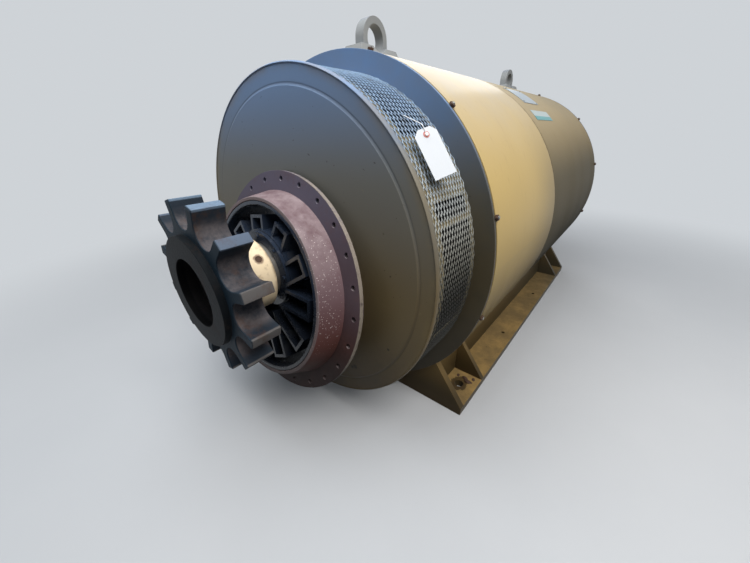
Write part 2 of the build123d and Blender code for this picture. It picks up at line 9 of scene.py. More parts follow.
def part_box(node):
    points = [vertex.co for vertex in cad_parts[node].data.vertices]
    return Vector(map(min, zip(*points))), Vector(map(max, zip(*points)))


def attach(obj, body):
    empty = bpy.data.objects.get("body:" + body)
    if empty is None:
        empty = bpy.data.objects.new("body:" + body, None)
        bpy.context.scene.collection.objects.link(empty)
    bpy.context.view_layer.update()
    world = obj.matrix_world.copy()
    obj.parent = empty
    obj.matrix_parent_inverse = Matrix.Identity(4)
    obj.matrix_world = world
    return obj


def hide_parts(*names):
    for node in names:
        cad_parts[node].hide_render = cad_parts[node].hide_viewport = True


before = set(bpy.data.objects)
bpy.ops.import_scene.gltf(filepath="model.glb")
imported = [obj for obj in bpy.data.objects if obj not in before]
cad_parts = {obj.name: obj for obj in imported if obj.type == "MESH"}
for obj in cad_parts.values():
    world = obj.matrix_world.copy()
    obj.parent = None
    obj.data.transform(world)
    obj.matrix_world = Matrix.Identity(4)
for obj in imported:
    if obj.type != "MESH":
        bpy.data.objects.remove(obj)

random.seed(11)
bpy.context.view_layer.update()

# Places read from the frame, in metres
BARREL_LOW, BARREL_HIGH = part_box("front_end_plate")
AXIS_Z = (BARREL_LOW.z + BARREL_HIGH.z) / 2
BARREL_R = (BARREL_HIGH.x - BARREL_LOW.x) / 2
SEAM_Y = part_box("barrel_front")[1].y
SCREEN_LOW, SCREEN_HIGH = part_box("front_drum_screen")
SCREEN_R = (SCREEN_HIGH.x - SCREEN_LOW.x) / 2
COVER_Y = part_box("front_drum_cover")[0].y
FRONT_PLATE_Y = BARREL_LOW.y
FLANGE_LOW, FLANGE_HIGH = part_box("adapter_flange")
FLANGE_R = (FLANGE_HIGH.x - FLANGE_LOW.x) / 2
HUB_LOW, HUB_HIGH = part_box("coupling_hub")
HUB_R = (HUB_HIGH.x - HUB_LOW.x) / 2
COLLAR_LOW, COLLAR_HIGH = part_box("coupling_collar")
SHAFT_Z = (COLLAR_LOW.z + COLLAR_HIGH.z) / 2

# Hub's boss, face and bore, and the crease in the covers
BOSS_PROUD = 0.017
BOSS_R = 0.1475
HUB_FACE_Y = HUB_LOW.y + BOSS_PROUD
BORE_R = 0.0915
CREASE_R = 0.4525

# Adapter ring: how far it faces up, the middle of its flange's face, its reach, the arms' ends
RING_LEAN = math.radians(9.9)
LEAN_SIN = math.sin(RING_LEAN)
LEAN_COS = math.cos(RING_LEAN)
RING_Y = FLANGE_LOW.y + FLANGE_R * LEAN_SIN
RING_Z = FLANGE_HIGH.z - FLANGE_R * LEAN_COS
RING_REACH = 0.069
ARM_END_R = 0.214

# Expanded metal
DIAMONDS_ROUND = 102
DIAMOND_ROWS = 15
STRAND_HALF = 0.0011
STRAND_THICK = 0.0013
STRAND_TILT = 0.0008

# Rating plate's middle and rivets, in degrees round the barrel from +X
PLATE_MIDDLE = 58.0
PLATE_HALF = 4.9

# Collar's hole
COLLAR_R = (COLLAR_HIGH.x - COLLAR_LOW.x) / 2
COLLAR_HOLE_TURN = 40.0
COLLAR_HOLE_X = COLLAR_R * math.cos(math.radians(COLLAR_HOLE_TURN))
COLLAR_HOLE_Y = COLLAR_LOW.y + 0.052
COLLAR_HOLE_Z = SHAFT_Z + COLLAR_R * math.sin(math.radians(COLLAR_HOLE_TURN))

# Near foot: its top, its bolt hole, and scraps of rust by across, along and size
FOOT_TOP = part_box("right_foot_plate")[1].z
FOOT_HOLE = (0.445, -0.690)
FLAKES = (
    (0.470, -0.662, 0.014),
    (0.452, -0.650, 0.010),
    (0.482, -0.640, 0.008),
    (0.424, -0.652, 0.007),
)

# Small dark marks on the front cover, the last three a painted shadow beside the flange's lower
# edge: across, up and radius
COVER_MARKS_AND_SHADOW = (
    (0.363, AXIS_Z - 0.208, 0.006),
    (0.370, AXIS_Z + 0.018, 0.004),
    (0.350, AXIS_Z + 0.122, 0.004),
    (0.229, AXIS_Z - 0.342, 0.010),
    (0.215, AXIS_Z - 0.350, 0.008),
    (0.190, AXIS_Z - 0.362, 0.007),
)

# Rounded corners: the least angle in degrees, and widths on steel plates, bracket, hub, cover
# sheets and cast eyes
SOFT_ABOVE = 32
PLATE_SOFT = 0.0015
BRACKET_SOFT = 0.0018
HUB_SOFT = 0.0022
COVER_SOFT = 0.003
EYE_SOFT = 0.006

# Small pieces: nuts on studs, rivets, the collar's screw and the covers' rolled lips
NUT_R = 0.0084
NUT_HIGH = 0.0062
NUT_SOFT = 0.0005
STUD_R = 0.0042
STUD_HIGH = 0.009
NUT_SINK = 0.0045
RIVET_R = 0.0036
RIVET_HIGH = 0.002
RIVET_INSET = 0.008
PLATE_OUT = 0.0016
SCREW_R = 0.0084
SCREW_HIGH = 0.005
SCREW_DOWN = 0.0068
LIP_R = 0.0036
LIP_TUCK = 0.0012
LIP_IN = 0.009
LIP_STRETCH = 2.3

# Background, and the camera at the photograph's place and angle
BACKDROP = (0.62, 0.65, 0.68, 1)
CAMERA_AT = Vector((0.7799, -1.5666, 0.8965))
CAMERA_YAW = 0.7062
CAMERA_PITCH = 0.4484
CAMERA_ROLL = -0.0233
CAMERA_LENS = 14.617
SENSOR_WIDTH = 36

# Floor: its radius and where it fades, and the sky's colour and strength
FLOOR_R = 60
FADE_FROM = 1.0
FADE_TO = 3.4
SKY = (0.70, 0.76, 0.84, 1)
SKY_STRENGTH = 0.2

# Soft lamps: name, place, aim, size, power and tint
LAMPS = (
    ("key", (2.2, -1.5, 3.3), (0, -0.4, 0.6), 2.0, 118, (1.0, 0.97, 0.93)),
    ("top", (-0.2, -1.2, 3.2), (0, -0.7, 0.6), 2.2, 64, (0.95, 0.98, 1.0)),
    ("back", (-1.8, 3.8, 2.4), (0, 0.6, 0.5), 2.2, 46, (0.92, 0.96, 1.0)),
    ("fill", (-2.0, -3.8, 3.0), (0, -1.1, 0.5), 2.2, 15, (0.84, 0.92, 1.0)),
)


def srgb(red, green, blue):
    """A colour in display values from 0 to 255, as the shader's linear numbers."""
    return tuple(((v / 255 + 0.055) / 1.055) ** 2.4 for v in (red, green, blue)) + (1.0,)


class Wire:
    """One output socket. Arithmetic on it adds Math nodes."""

    def __init__(self, finish, socket):
        self.finish = finish
        self.socket = socket

    def math(self, operation, first, second=0.0):
        return self.finish.node("ShaderNodeMath", {"operation": operation}, [first, second])

    def __add__(self, other):
        return self.math("ADD", self, other)

    def __sub__(self, other):
        return self.math("SUBTRACT", self, other)

    def __rsub__(self, other):
        return self.math("SUBTRACT", other, self)

    def __mul__(self, other):
        return self.math("MULTIPLY", self, other)

    def __abs__(self):
        return self.math("ABSOLUTE", self)

    def root(self):
        return self.math("SQRT", self)

    __radd__ = __add__


class Finish:
    """One material: its shader, the place on the object, and ways to add nodes."""

    def __init__(self, name, **constants):
        self.material = bpy.data.materials.new(name)
        self.material.use_nodes = True
        self.tree = self.material.node_tree
        self.shader = self.tree.nodes["Principled BSDF"]
        for key, value in constants.items():
            self.shader.inputs[key.replace("_", " ")].default_value = value
        self.place = self.node("ShaderNodeTexCoord", output="Object")
        split = self.node("ShaderNodeSeparateXYZ", inputs=[self.place]).socket.node
        self.x, self.y, self.z = (Wire(self, out) for out in split.outputs)

    def node(self, kind, settings=None, inputs=None, output=0):
        """Add a node: its settings first, then its sockets' values or links."""
        made = self.tree.nodes.new(kind)
        for key, value in (settings or {}).items():
            setattr(made, key, value)
        named = inputs.items() if isinstance(inputs, dict) else enumerate(inputs or [])
        for key, value in named:
            if isinstance(value, Wire):
                self.tree.links.new(value.socket, made.inputs[key])
            else:
                made.inputs[key].default_value = value
        return Wire(self, made.outputs[output])

    def noise(self, scale, detail=4.0, rough=0.55, stretch=(1, 1, 1), shift=0.0):
        """Noise from 0 to 1 at a scale per metre, squeezed by stretch."""
        place = self.node(
            "ShaderNodeMapping",
            inputs={"Vector": self.place, "Scale": stretch, "Location": (shift, shift, shift)},
        )
        return self.node(
            "ShaderNodeTexNoise",
            inputs={"Vector": place, "Scale": scale, "Detail": detail, "Roughness": rough},
        )

    def step(self, value, low, high):
        """0 below low, 1 above high, smooth between. Turned round where low is above high."""
        return self.node(
            "ShaderNodeMapRange",
            {"interpolation_type": "SMOOTHSTEP"},
            {"Value": value, "From Min": low, "From Max": high},
        )

    def band(self, value, middle, half, soft):
        """1 within half of the middle, falling to 0 over soft."""
        return self.step(abs(value - middle), half + soft, half)

    def round(self, centre_z, centre_x=0.0):
        """Distance from a line along Y."""
        x = self.x - centre_x
        z = self.z - centre_z
        return (x * x + z * z).root()

    def along_ring(self):
        """Distance ahead of the flange's face, square to it."""
        return (self.z - RING_Z) * LEAN_SIN - (self.y - RING_Y) * LEAN_COS

    def up_ring(self):
        """Height above the ring's middle, along its own face."""
        return (self.z - RING_Z) * LEAN_COS + (self.y - RING_Y) * LEAN_SIN

    def round_ring(self):
        """Distance from the ring's own centre line."""
        up = self.up_ring()
        return (self.x * self.x + up * up).root()

    def upward(self):
        """How far a surface faces up, from -1 to 1."""
        normal = self.node("ShaderNodeNewGeometry", output="Normal")
        split = self.node("ShaderNodeSeparateXYZ", inputs=[normal]).socket.node
        return Wire(self, split.outputs[2])

    def mix(self, factor, first, second):
        """First colour at factor 0, second at 1."""
        return self.node(
            "ShaderNodeMix",
            {"data_type": "RGBA"},
            {0: factor, 6: first, 7: second},
            output=2,
        )

    def bump(self, height, strength, distance):
        """A height in units of distance that feeds the shader's normal."""
        normal = self.node(
            "ShaderNodeBump", inputs={"Strength": strength, "Distance": distance, "Height": height}
        )
        self.feed("Normal", normal)

    def feed(self, socket, wire):
        """Link a result to the shader."""
        self.tree.links.new(wire.socket, self.shader.inputs[socket])


# Finishes
def barrel_enamel(name, first, second, dust_and_sky_colour, dusty, shaded, grime_and_shade_colour, gloss):
    """Gold-tan enamel on a wrapped sheet: dust and a painted sky reflection on top, painted shade
    towards the seam and past it, painted shade and grime below.
    """
    f = Finish(name, Specular_IOR_Level=gloss * 0.15, Coat_Roughness=0.2)
    broad = f.noise(1.6, 3)
    colour = f.mix(broad, first, second)
    # Dust on what faces up, with a painted pale blue sky reflection in the same colour
    dust = f.step(f.upward(), 0.35, 1.0) * (0.6 + f.step(f.noise(7, 7, 0.6), 0.2, 0.8) * 0.4)
    colour = f.mix(dust * dusty, colour, dust_and_sky_colour)
    # Painted shade: darker towards the seam and past it, below the top
    shade = f.step(f.y, SEAM_Y - 0.3, SEAM_Y + 0.02) * f.step(f.z, 1.0, 0.7)
    colour = f.mix(shade * shaded, colour, srgb(92, 87, 73))
    # Painted shade darkening towards the bottom, with patches of grime over it
    low = f.step(f.z, 0.7, 0.22)
    grimy = low * f.step(f.noise(5, 6, 0.7), 0.15, 0.6)
    colour = f.mix(low * 0.62 + grimy * 0.37, colour, grime_and_shade_colour)
    seam = f.band(f.y, SEAM_Y, 0.0012, 0.0016)
    grime = f.band(f.y, SEAM_Y, 0.004, 0.02) * f.step(f.noise(30, 5), 0.35, 0.7)
    colour = f.mix(grime * 0.35, colour, srgb(110, 90, 56))
    colour = f.mix(seam, colour, srgb(64, 52, 34))
    scuffs = f.step(f.noise(60, 8, 0.75, (1, 0.12, 1)), 0.66, 0.72)
    colour = f.mix(scuffs * 0.3, colour, srgb(226, 208, 170))
    runs = f.step(f.noise(26, 7, 0.7, (1, 3, 0.15)), 0.58, 0.7)
    colour = f.mix(runs * 0.22, colour, srgb(122, 96, 60))
    f.feed("Base Color", colour)
    f.feed("Roughness", 0.36 + dust * 0.3 + low * 0.2 + scuffs * 0.1)
    f.feed("Coat Weight", gloss - low * gloss * 0.9)
    sheet = f.noise(1.0, 1, 0.4, (0.35, 3.2, 0.35))
    peel = f.noise(420, 2, 0.5)
    f.bump(sheet + peel * 0.006 - seam * 0.12, 0.55, 0.02)
    return f.material


def end_enamel():
    """Enamel on plates across the shaft: tan paint darkened by dirt and painted shade, with a
    painted slate and blue reflection high up, brown painted shade and oil low down, and painted
    shade inside.
    """
    f = Finish("end_enamel", Specular_IOR_Level=0.25, Coat_Weight=0.04, Coat_Roughness=0.35)
    broad = f.noise(2.2, 4)
    # Olive-brown: the tan paint darkened by dirt and by painted shade
    colour = f.mix(broad, srgb(96, 83, 57), srgb(114, 99, 70))
    # Painted reflection: slate grey and then pale blue towards the top
    colour = f.mix(f.step(f.z, 0.5, 0.85) * 0.6, colour, srgb(114, 122, 126))
    colour = f.mix(f.step(f.z, 0.78, 1.08) * 0.8, colour, srgb(116, 150, 196))
    radius = f.round(AXIS_Z)
    crease = f.band(radius, CREASE_R, 0.0025, 0.002)
    # Painted shade in the crease: blue-grey higher up, brown lower down
    colour = f.mix(crease * f.step(f.z, 0.5, 0.85) * 0.4, colour, srgb(56, 62, 70))
    colour = f.mix(crease * f.step(f.z, 0.7, 0.4) * 0.4, colour, srgb(48, 38, 24))
    rim = f.step(radius, 0.470, 0.494) * f.step(f.noise(12, 6), 0.3, 0.6)
    colour = f.mix(rim * 0.3, colour, srgb(140, 120, 78))
    # Painted shade: brown and darker towards the bottom
    low = f.step(f.z, 0.56, 0.16)
    colour = f.mix(low * 0.75, colour, srgb(52, 43, 28))
    oil = f.step(f.noise(3.4, 7, 0.7), 0.5, 0.7) * f.step(f.z, 0.66, 0.2)
    colour = f.mix(oil * 0.6, colour, srgb(46, 36, 25))
    flecks = f.step(f.noise(85, 3), 0.71, 0.75)
    colour = f.mix(flecks * 0.6, colour, srgb(46, 37, 27))
    pale = f.step(f.noise(26, 7, 0.75, shift=5.0), 0.66, 0.72)
    colour = f.mix(pale * 0.25, colour, srgb(160, 142, 104))
    # Dark marks; the last three are a painted shadow beside the flange's lower edge
    for along, up, size in COVER_MARKS_AND_SHADOW:
        mark = f.step(f.round(up, along) + f.noise(160, 3) * 0.006, size + 0.003, size - 0.001)
        colour = f.mix(mark * 0.8, colour, srgb(34, 27, 20))
    # Painted shade on the inside of the drum, between the cover and the screen
    between = f.step(f.y, COVER_Y + 0.02, COVER_Y + 0.03)
    inside = f.step(radius, SCREEN_R - 0.004, SCREEN_R - 0.007) * between
    colour = f.mix(inside * 0.9, colour, srgb(30, 33, 38))
    # Painted shade on the end plate's face behind the screen, with a painted blue reflection
    # higher up
    behind = f.step(f.y, FRONT_PLATE_Y - 0.002, FRONT_PLATE_Y)
    behind = behind * f.step(radius, SCREEN_R - 0.004, SCREEN_R)
    dim = f.mix(f.step(f.z, 0.7, 1.1), srgb(50, 48, 40), srgb(92, 120, 156))
    colour = f.mix(behind * 0.7, colour, dim)
    f.feed("Base Color", colour)
    f.feed("Roughness", 0.4 + broad * 0.15 - oil * 0.15)
    f.bump(f.noise(3.0, 2) * 0.6 + f.noise(380, 2) * 0.01 - crease * 0.08, 0.4, 0.01)
    return f.material


def frame_enamel():
    """Enamel on the drum's rims and posts, darker behind the screen as painted shade, with painted
    shade on the inside.
    """
    f = Finish("frame_enamel", Specular_IOR_Level=0.3)
    # Tan enamel made darker and duller as painted shade under the screen
    colour = f.mix(f.noise(6, 5), srgb(112, 104, 82), srgb(134, 124, 98))
    grime = f.step(f.noise(24, 6, 0.7), 0.5, 0.75)
    colour = f.mix(grime * 0.5, colour, srgb(84, 70, 48))
    # Painted shade on the inner faces
    inside = f.step(f.round(AXIS_Z), SCREEN_R - 0.003, SCREEN_R - 0.0045)
    colour = f.mix(inside * 0.8, colour, srgb(40, 42, 44))
    f.feed("Base Color", colour)
    f.feed("Roughness", 0.45 + grime * 0.2)
    f.bump(f.noise(300, 2), 0.12, 0.001)
    return f.material


def worn_enamel(name, first, second, dirt):
    """Enamel on feet and eyes, with trodden dirt on what faces up, chips to rust, and painted
    shade on the sides near the floor and on the far, low parts.
    """
    f = Finish(name, Specular_IOR_Level=0.12)
    colour = f.mix(f.noise(4, 5), first, second)
    flat = f.step(f.upward(), 0.6, 0.95)
    # Painted shade on the sides near the floor
    low = f.step(f.z, 0.3, 0.04) * (1.0 - flat)
    colour = f.mix(low * 0.9, colour, srgb(44, 38, 26))
    trod = flat * f.step(f.noise(7, 8, 0.7), 0.3, 0.65)
    colour = f.mix(trod * 0.75, colour, dirt)
    stain = flat * f.step(f.noise(18, 8, 0.75), 0.58, 0.7)
    colour = f.mix(stain * 0.7, colour, srgb(60, 48, 33))
    around = f.x - FOOT_HOLE[0]
    along = f.y - FOOT_HOLE[1]
    away = (around * around + along * along * 0.6).root()
    spill = f.step(away + f.noise(46, 5, 0.7) * 0.045, 0.056, 0.050)
    colour = f.mix(spill * flat * 0.8, colour, srgb(44, 34, 25))
    # Painted shade on the far, low parts
    far_low_shade = f.step(f.y, -0.4, 0.7) * f.step(f.z, 0.4, 0.3)
    colour = f.mix(far_low_shade * 0.5, colour, srgb(54, 56, 50))
    chips = f.step(f.noise(70, 5, 0.6), 0.73, 0.76)
    colour = f.mix(chips, colour, srgb(78, 50, 32))
    f.feed("Base Color", colour)
    f.feed("Roughness", 0.38 + trod * 0.35 + chips * 0.3)
    f.bump(f.noise(260, 2) * 0.2 - chips, 0.2, 0.001)
    return f.material


def screen_enamel():
    """Thin paint on the strands of expanded metal, rubbed pale, with painted shade that makes them
    near black low down and a painted blue reflection towards the top.
    """
    f = Finish("screen_enamel", Metallic=0.1, Specular_IOR_Level=0.3)
    colour = f.mix(f.noise(8, 5), srgb(196, 195, 182), srgb(222, 221, 210))
    # Painted shade: near black low down
    colour = f.mix(f.step(f.z, 0.8, 0.5) * 0.95, colour, srgb(27, 28, 28))
    # Painted reflection: pale blue towards the top
    colour = f.mix(f.step(f.z, 0.62, 1.0) * 0.9, colour, srgb(144, 176, 212))
    dark = f.step(f.noise(34, 6, 0.7), 0.45, 0.7)
    colour = f.mix(dark * 0.5, colour, srgb(86, 82, 70))
    f.feed("Base Color", colour)
    f.feed("Roughness", 0.42 + dark * 0.2)
    f.bump(f.noise(600, 2), 0.1, 0.0005)
    return f.material


def ring_primer():
    """Dusty red-brown primer: pink-grey above with white paint specks, dark brown low down,
    painted shade at the bottom, the flange's face darker with a painted blue reflection above and
    painted shade below, and a worn rim with a painted highlight.
    """
    f = Finish("ring_primer", Specular_IOR_Level=0.2)
    up = f.up_ring()
    ahead = f.along_ring()
    radius = f.round_ring()
    colour = f.mix(f.noise(5, 6, 0.6), srgb(95, 73, 77), srgb(112, 91, 96))
    low = f.step(up, 0.08, -0.11)
    colour = f.mix(low * 0.88, colour, srgb(84, 44, 34))
    # Painted shade: near black at the very bottom
    under = f.step(up, -0.06, -0.2)
    colour = f.mix(under * 0.85, colour, srgb(40, 28, 25))
    # The flange's face: darker, a painted blue reflection higher up and near-black painted shade
    # lower down
    flange = f.step(ahead, 0.001, -0.0005)
    flat = f.mix(f.step(up, 0.1, 0.3), srgb(60, 54, 62), srgb(78, 84, 104))
    colour = f.mix(flange * 0.85, colour, f.mix(low, flat, srgb(18, 13, 13)))
    blotch = f.step(f.noise(11, 8, 0.72), 0.5, 0.75)
    colour = f.mix(blotch * 0.35, colour, srgb(98, 68, 60))
    dust = f.step(f.upward(), 0.1, 0.9) * f.step(f.noise(16, 7, 0.7), 0.3, 0.7)
    colour = f.mix(dust * 0.5, colour, srgb(176, 162, 164))
    # Pale rim on the right side: worn paint and a painted highlight
    worn = f.step(f.noise(60, 5), 0.2, 0.5) * f.step(f.x, 0.02, 0.14) * f.step(up, -0.22, -0.1)
    rim = f.step(radius, FLANGE_R - 0.002, FLANGE_R - 0.0008) * worn
    colour = f.mix(rim * 0.7, colour, srgb(158, 148, 134))
    lip = f.step(ahead, RING_REACH - 0.003, RING_REACH - 0.001)
    colour = f.mix(lip * 0.6, colour, srgb(120, 112, 112))
    sprayed = f.step(f.noise(7, 3, shift=2.0), 0.35, 0.55) * f.step(f.x, 0.02, 0.14)
    sprayed = sprayed * f.step(up, 0.24, 0.16) * f.step(up, -0.16, -0.04)
    specks = f.step(f.noise(260, 2, 0.4), 0.675, 0.71) * sprayed * f.step(ahead, 0.002, 0.01)
    colour = f.mix(specks * 0.8, colour, srgb(224, 214, 212))
    f.feed("Base Color", colour)
    f.feed("Roughness", 0.66 - rim * 0.25 + blotch * 0.1)
    f.bump(f.noise(500, 3) * 0.5 + blotch * 0.3 + specks * 0.4, 0.35, 0.0012)
    return f.material


def bracket_black():
    """Black enamel, glossy where it was wiped and brown with dust in the corners, with painted
    shade that makes the lower half near black.
    """
    f = Finish("bracket_black", Specular_IOR_Level=0.3, Coat_Weight=0.2, Coat_Roughness=0.2)
    dust = f.step(f.noise(14, 7, 0.7), 0.5, 0.72)
    colour = f.mix(dust * 0.3, srgb(40, 49, 64), srgb(72, 70, 68))
    # Painted shade: near black in the lower half
    colour = f.mix(f.step(f.up_ring(), 0.12, -0.06) * 0.85, colour, srgb(11, 13, 17))
    f.feed("Base Color", colour)
    f.feed("Roughness", 0.2 + dust * 0.4)
    f.bump(f.noise(140, 4), 0.25, 0.0015)
    return f.material


def bright_edge():
    """Steel rubbed bright along corners."""
    f = Finish("bright_edge", Metallic=0.7)
    worn = f.step(f.noise(55, 6, 0.7), 0.35, 0.6)
    f.feed("Base Color", f.mix(worn, srgb(52, 54, 58), srgb(158, 156, 150)))
    f.feed("Roughness", 0.45 - worn * 0.12)
    return f.material


def bracket_edge():
    """Corners of the bracket: black, with pale painted highlights in patches round the outer ends
    of its arms in the upper half.
    """
    f = Finish("bracket_edge", Specular_IOR_Level=0.3)
    # Painted highlight round the outer ends of the arms, only in the upper half
    outer = f.band(f.round_ring(), ARM_END_R - 0.002, 0.006, 0.003)
    worn = outer * f.step(f.along_ring(), 0.054, 0.057) * f.step(f.noise(14, 5), 0.3, 0.5)
    worn = worn * f.step(f.up_ring(), -0.13, 0.02)
    f.feed("Base Color", f.mix(worn, srgb(22, 25, 30), srgb(190, 194, 194)))
    f.feed("Roughness", 0.3 + worn * 0.15)
    return f.material


def hub_steel():
    """Dark blue-grey steel, nearly black in front from painted shade on the face, boss and bore,
    paler worn tips with a painted blue reflection higher up, dusty in the pockets.
    """
    f = Finish("hub_steel", Metallic=0.1, Specular_IOR_Level=0.04)
    colour = f.mix(f.noise(9, 6, 0.6), srgb(32, 39, 47), srgb(52, 60, 70))
    radius = f.round(SHAFT_Z)
    tip = f.step(radius, HUB_R - 0.004, HUB_R - 0.001)
    # Worn pale tips, with a painted blue reflection that grows higher up
    tip_wear_and_reflection = f.mix(f.step(f.z, 0.62, 0.68), srgb(100, 97, 96), srgb(92, 104, 121))
    tip_wear_and_reflection = f.mix(f.step(f.z, 0.72, 0.755), tip_wear_and_reflection, srgb(114, 133, 154))
    colour = f.mix(tip * 0.92, colour, tip_wear_and_reflection)
    pocket = f.step(radius, 0.212, 0.178) * f.step(f.y, HUB_FACE_Y + 0.001, HUB_FACE_Y + 0.004)
    dusty = pocket * f.step(f.noise(15, 7, 0.7), 0.3, 0.65)
    colour = f.mix(dusty * 0.55, colour, srgb(126, 117, 116))
    # Painted shade on the front face
    face = f.step(f.y, HUB_FACE_Y + 0.004, HUB_FACE_Y + 0.001)
    colour = f.mix(face * 0.85, colour, srgb(32, 46, 56))
    # Painted shade: the boss near black
    boss = f.step(radius, BOSS_R + 0.0015, BOSS_R - 0.0015)
    boss = boss * f.step(f.y, HUB_FACE_Y + 0.001, HUB_FACE_Y - 0.001)
    colour = f.mix(boss * 0.9, colour, srgb(14, 15, 16))
    rust = f.step(f.noise(13, 8, 0.72), 0.5, 0.66) * (1.0 - face * 0.75)
    colour = f.mix(rust * 0.45, colour, srgb(88, 64, 50))
    smear = f.step(f.noise(21, 7, 0.75, shift=7.0), 0.6, 0.68) * tip
    colour = f.mix(smear * 0.7, colour, srgb(44, 44, 46))
    # Painted shade in the bore
    bore = f.step(radius, BORE_R + 0.001, BORE_R - 0.001)
    colour = f.mix(bore * 0.95, colour, srgb(7, 7, 8))
    f.feed("Base Color", colour)
    f.feed("Roughness", 0.48 + rust * 0.25 + dusty * 0.1)
    f.bump(f.noise(120, 5, 0.6) + rust * 0.4, 0.35, 0.0015)
    return f.material


def collar_enamel():
    """Cream paint with brown runs and a rusty patch round the set screw."""
    f = Finish("collar_enamel", Coat_Weight=0.2)
    colour = f.mix(f.noise(18, 6), srgb(224, 202, 166), srgb(238, 219, 188))
    stain = f.step(f.noise(34, 7, 0.7), 0.55, 0.7)
    colour = f.mix(stain * 0.55, colour, srgb(150, 124, 88))
    edge = f.band(f.y, COLLAR_HIGH.y, 0.004, 0.01) * f.step(f.noise(40, 5), 0.35, 0.6)
    colour = f.mix(edge * 0.5, colour, srgb(120, 92, 62))
    from_hole = [
        axis - middle
        for axis, middle in zip((f.x, f.y, f.z), (COLLAR_HOLE_X, COLLAR_HOLE_Y, COLLAR_HOLE_Z))
    ]
    square = sum(away * away for away in from_hole)
    away = square.root() + f.noise(90, 6, 0.7) * 0.012
    rusty = f.step(away, 0.022, 0.016)
    colour = f.mix(rusty * 0.8, colour, srgb(98, 66, 48))
    f.feed("Base Color", colour)
    f.feed("Roughness", 0.45 + stain * 0.2)
    f.bump(f.noise(220, 3) + stain * 0.5, 0.2, 0.001)
    return f.material


def rusty_steel():
    """Brown, rough rusted steel on screws and studs."""
    f = Finish("rusty_steel", Metallic=0.3)
    colour = f.mix(f.noise(90, 6, 0.7), srgb(46, 37, 32), srgb(96, 68, 50))
    f.feed("Base Color", colour)
    f.feed("Roughness", 0.6 + f.noise(160, 3) * 0.25)
    f.bump(f.noise(500, 4), 0.4, 0.0006)
    return f.material


def shaft_steel():
    """Machined steel with a brown film, and painted shade on its end inside the hub."""
    f = Finish("shaft_steel", Metallic=0.6, Specular_IOR_Level=0.3)
    film = f.step(f.noise(12, 7, 0.7), 0.4, 0.7)
    colour = f.mix(film * 0.7, srgb(128, 126, 122), srgb(82, 64, 50))
    # Painted shade: near black on the end inside the hub
    end = f.step(f.y, HUB_FACE_Y + 0.06, HUB_FACE_Y + 0.05)
    f.feed("Base Color", f.mix(end * 0.95, colour, srgb(20, 20, 21)))
    f.feed("Roughness", 0.34 + film * 0.35)
    f.bump(f.noise(60, 2, 0.5, (1, 14, 1)), 0.1, 0.0005)
    return f.material


def tag_card_stock():
    """White card with faint fibre and a grey thumb mark."""
    f = Finish("tag_card_stock", Roughness=0.75, Specular_IOR_Level=0.2)
    fibre = f.noise(700, 4, 0.6)
    colour = f.mix(fibre, srgb(204, 209, 215), srgb(217, 221, 226))
    thumb = f.step(f.noise(38, 4), 0.6, 0.8)
    f.feed("Base Color", f.mix(thumb * 0.25, colour, srgb(202, 200, 194)))
    f.bump(fibre, 0.15, 0.0003)
    return f.material


def eyelet_board():
    """Reddish pressed board round the tag's hole."""
    f = Finish("eyelet_board", Roughness=0.8)
    f.feed("Base Color", f.mix(f.noise(500, 4), srgb(176, 106, 100), srgb(206, 140, 132)))
    f.bump(f.noise(900, 3), 0.2, 0.0003)
    return f.material


def string_cotton():
    """Twisted white cotton."""
    f = Finish("string_cotton", Roughness=0.9)
    f.feed("Base Color", f.mix(f.noise(900, 3), srgb(206, 208, 212), srgb(244, 244, 242)))
    f.bump(f.noise(1600, 2), 0.4, 0.0003)
    return f.material


def label_print():
    """Blank two-tone label: white above, teal below, a little faded."""
    f = Finish("label_print", Coat_Weight=0.3)
    low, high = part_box("side_label")
    middle = low.z + 0.42 * (high.z - low.z)
    fade = f.noise(20, 5)
    white = f.mix(fade, srgb(148, 162, 164), srgb(172, 184, 184))
    teal = f.mix(fade, srgb(58, 130, 134), srgb(84, 152, 154))
    f.feed("Base Color", f.mix(f.step(f.z, middle + 0.0008, middle - 0.0008), white, teal))
    f.feed("Roughness", 0.4 + fade * 0.15)
    f.bump(f.noise(300, 2), 0.05, 0.0005)
    return f.material


def plate_metal():
    """Blank anodised plate, blue-grey with hazy handling marks."""
    f = Finish("plate_metal", Metallic=0.55)
    haze = f.noise(22, 6, 0.65)
    f.feed("Base Color", f.mix(haze, srgb(150, 162, 172), srgb(186, 194, 200)))
    f.feed("Roughness", 0.32 + haze * 0.25)
    f.bump(f.noise(500, 2, 0.5, (1, 0.1, 1)), 0.08, 0.0004)
    return f.material


# Ways of making meshes
def only(piece):
    """Select one object alone and make it active."""
    bpy.ops.object.select_all(action="DESELECT")
    piece.select_set(True)
    bpy.context.view_layer.objects.active = piece


def edit(piece, kind="VERT"):
    """Go into edit mode with nothing selected."""
    only(piece)
    bpy.ops.object.mode_set(mode="EDIT")
    bpy.ops.mesh.select_mode(type=kind)
    bpy.ops.mesh.select_all(action="DESELECT")


def done():
    """Leave edit mode."""
    bpy.ops.object.mode_set(mode="OBJECT")


def pick(piece, test):
    """In edit mode select only the corners whose place passes the test."""
    bpy.ops.mesh.select_all(action="DESELECT")
    mesh = bmesh.from_edit_mesh(piece.data)
    for corner in mesh.verts:
        if test(corner.co):
            corner.select_set(True)
    bmesh.update_edit_mesh(piece.data)


def modify(piece, kind, **settings):
    """Add a modifier and apply it."""
    only(piece)
    modifier = piece.modifiers.new(kind.lower(), kind)
    for key, value in settings.items():
        setattr(modifier, key, value)
    bpy.ops.object.modifier_apply(modifier=modifier.name)


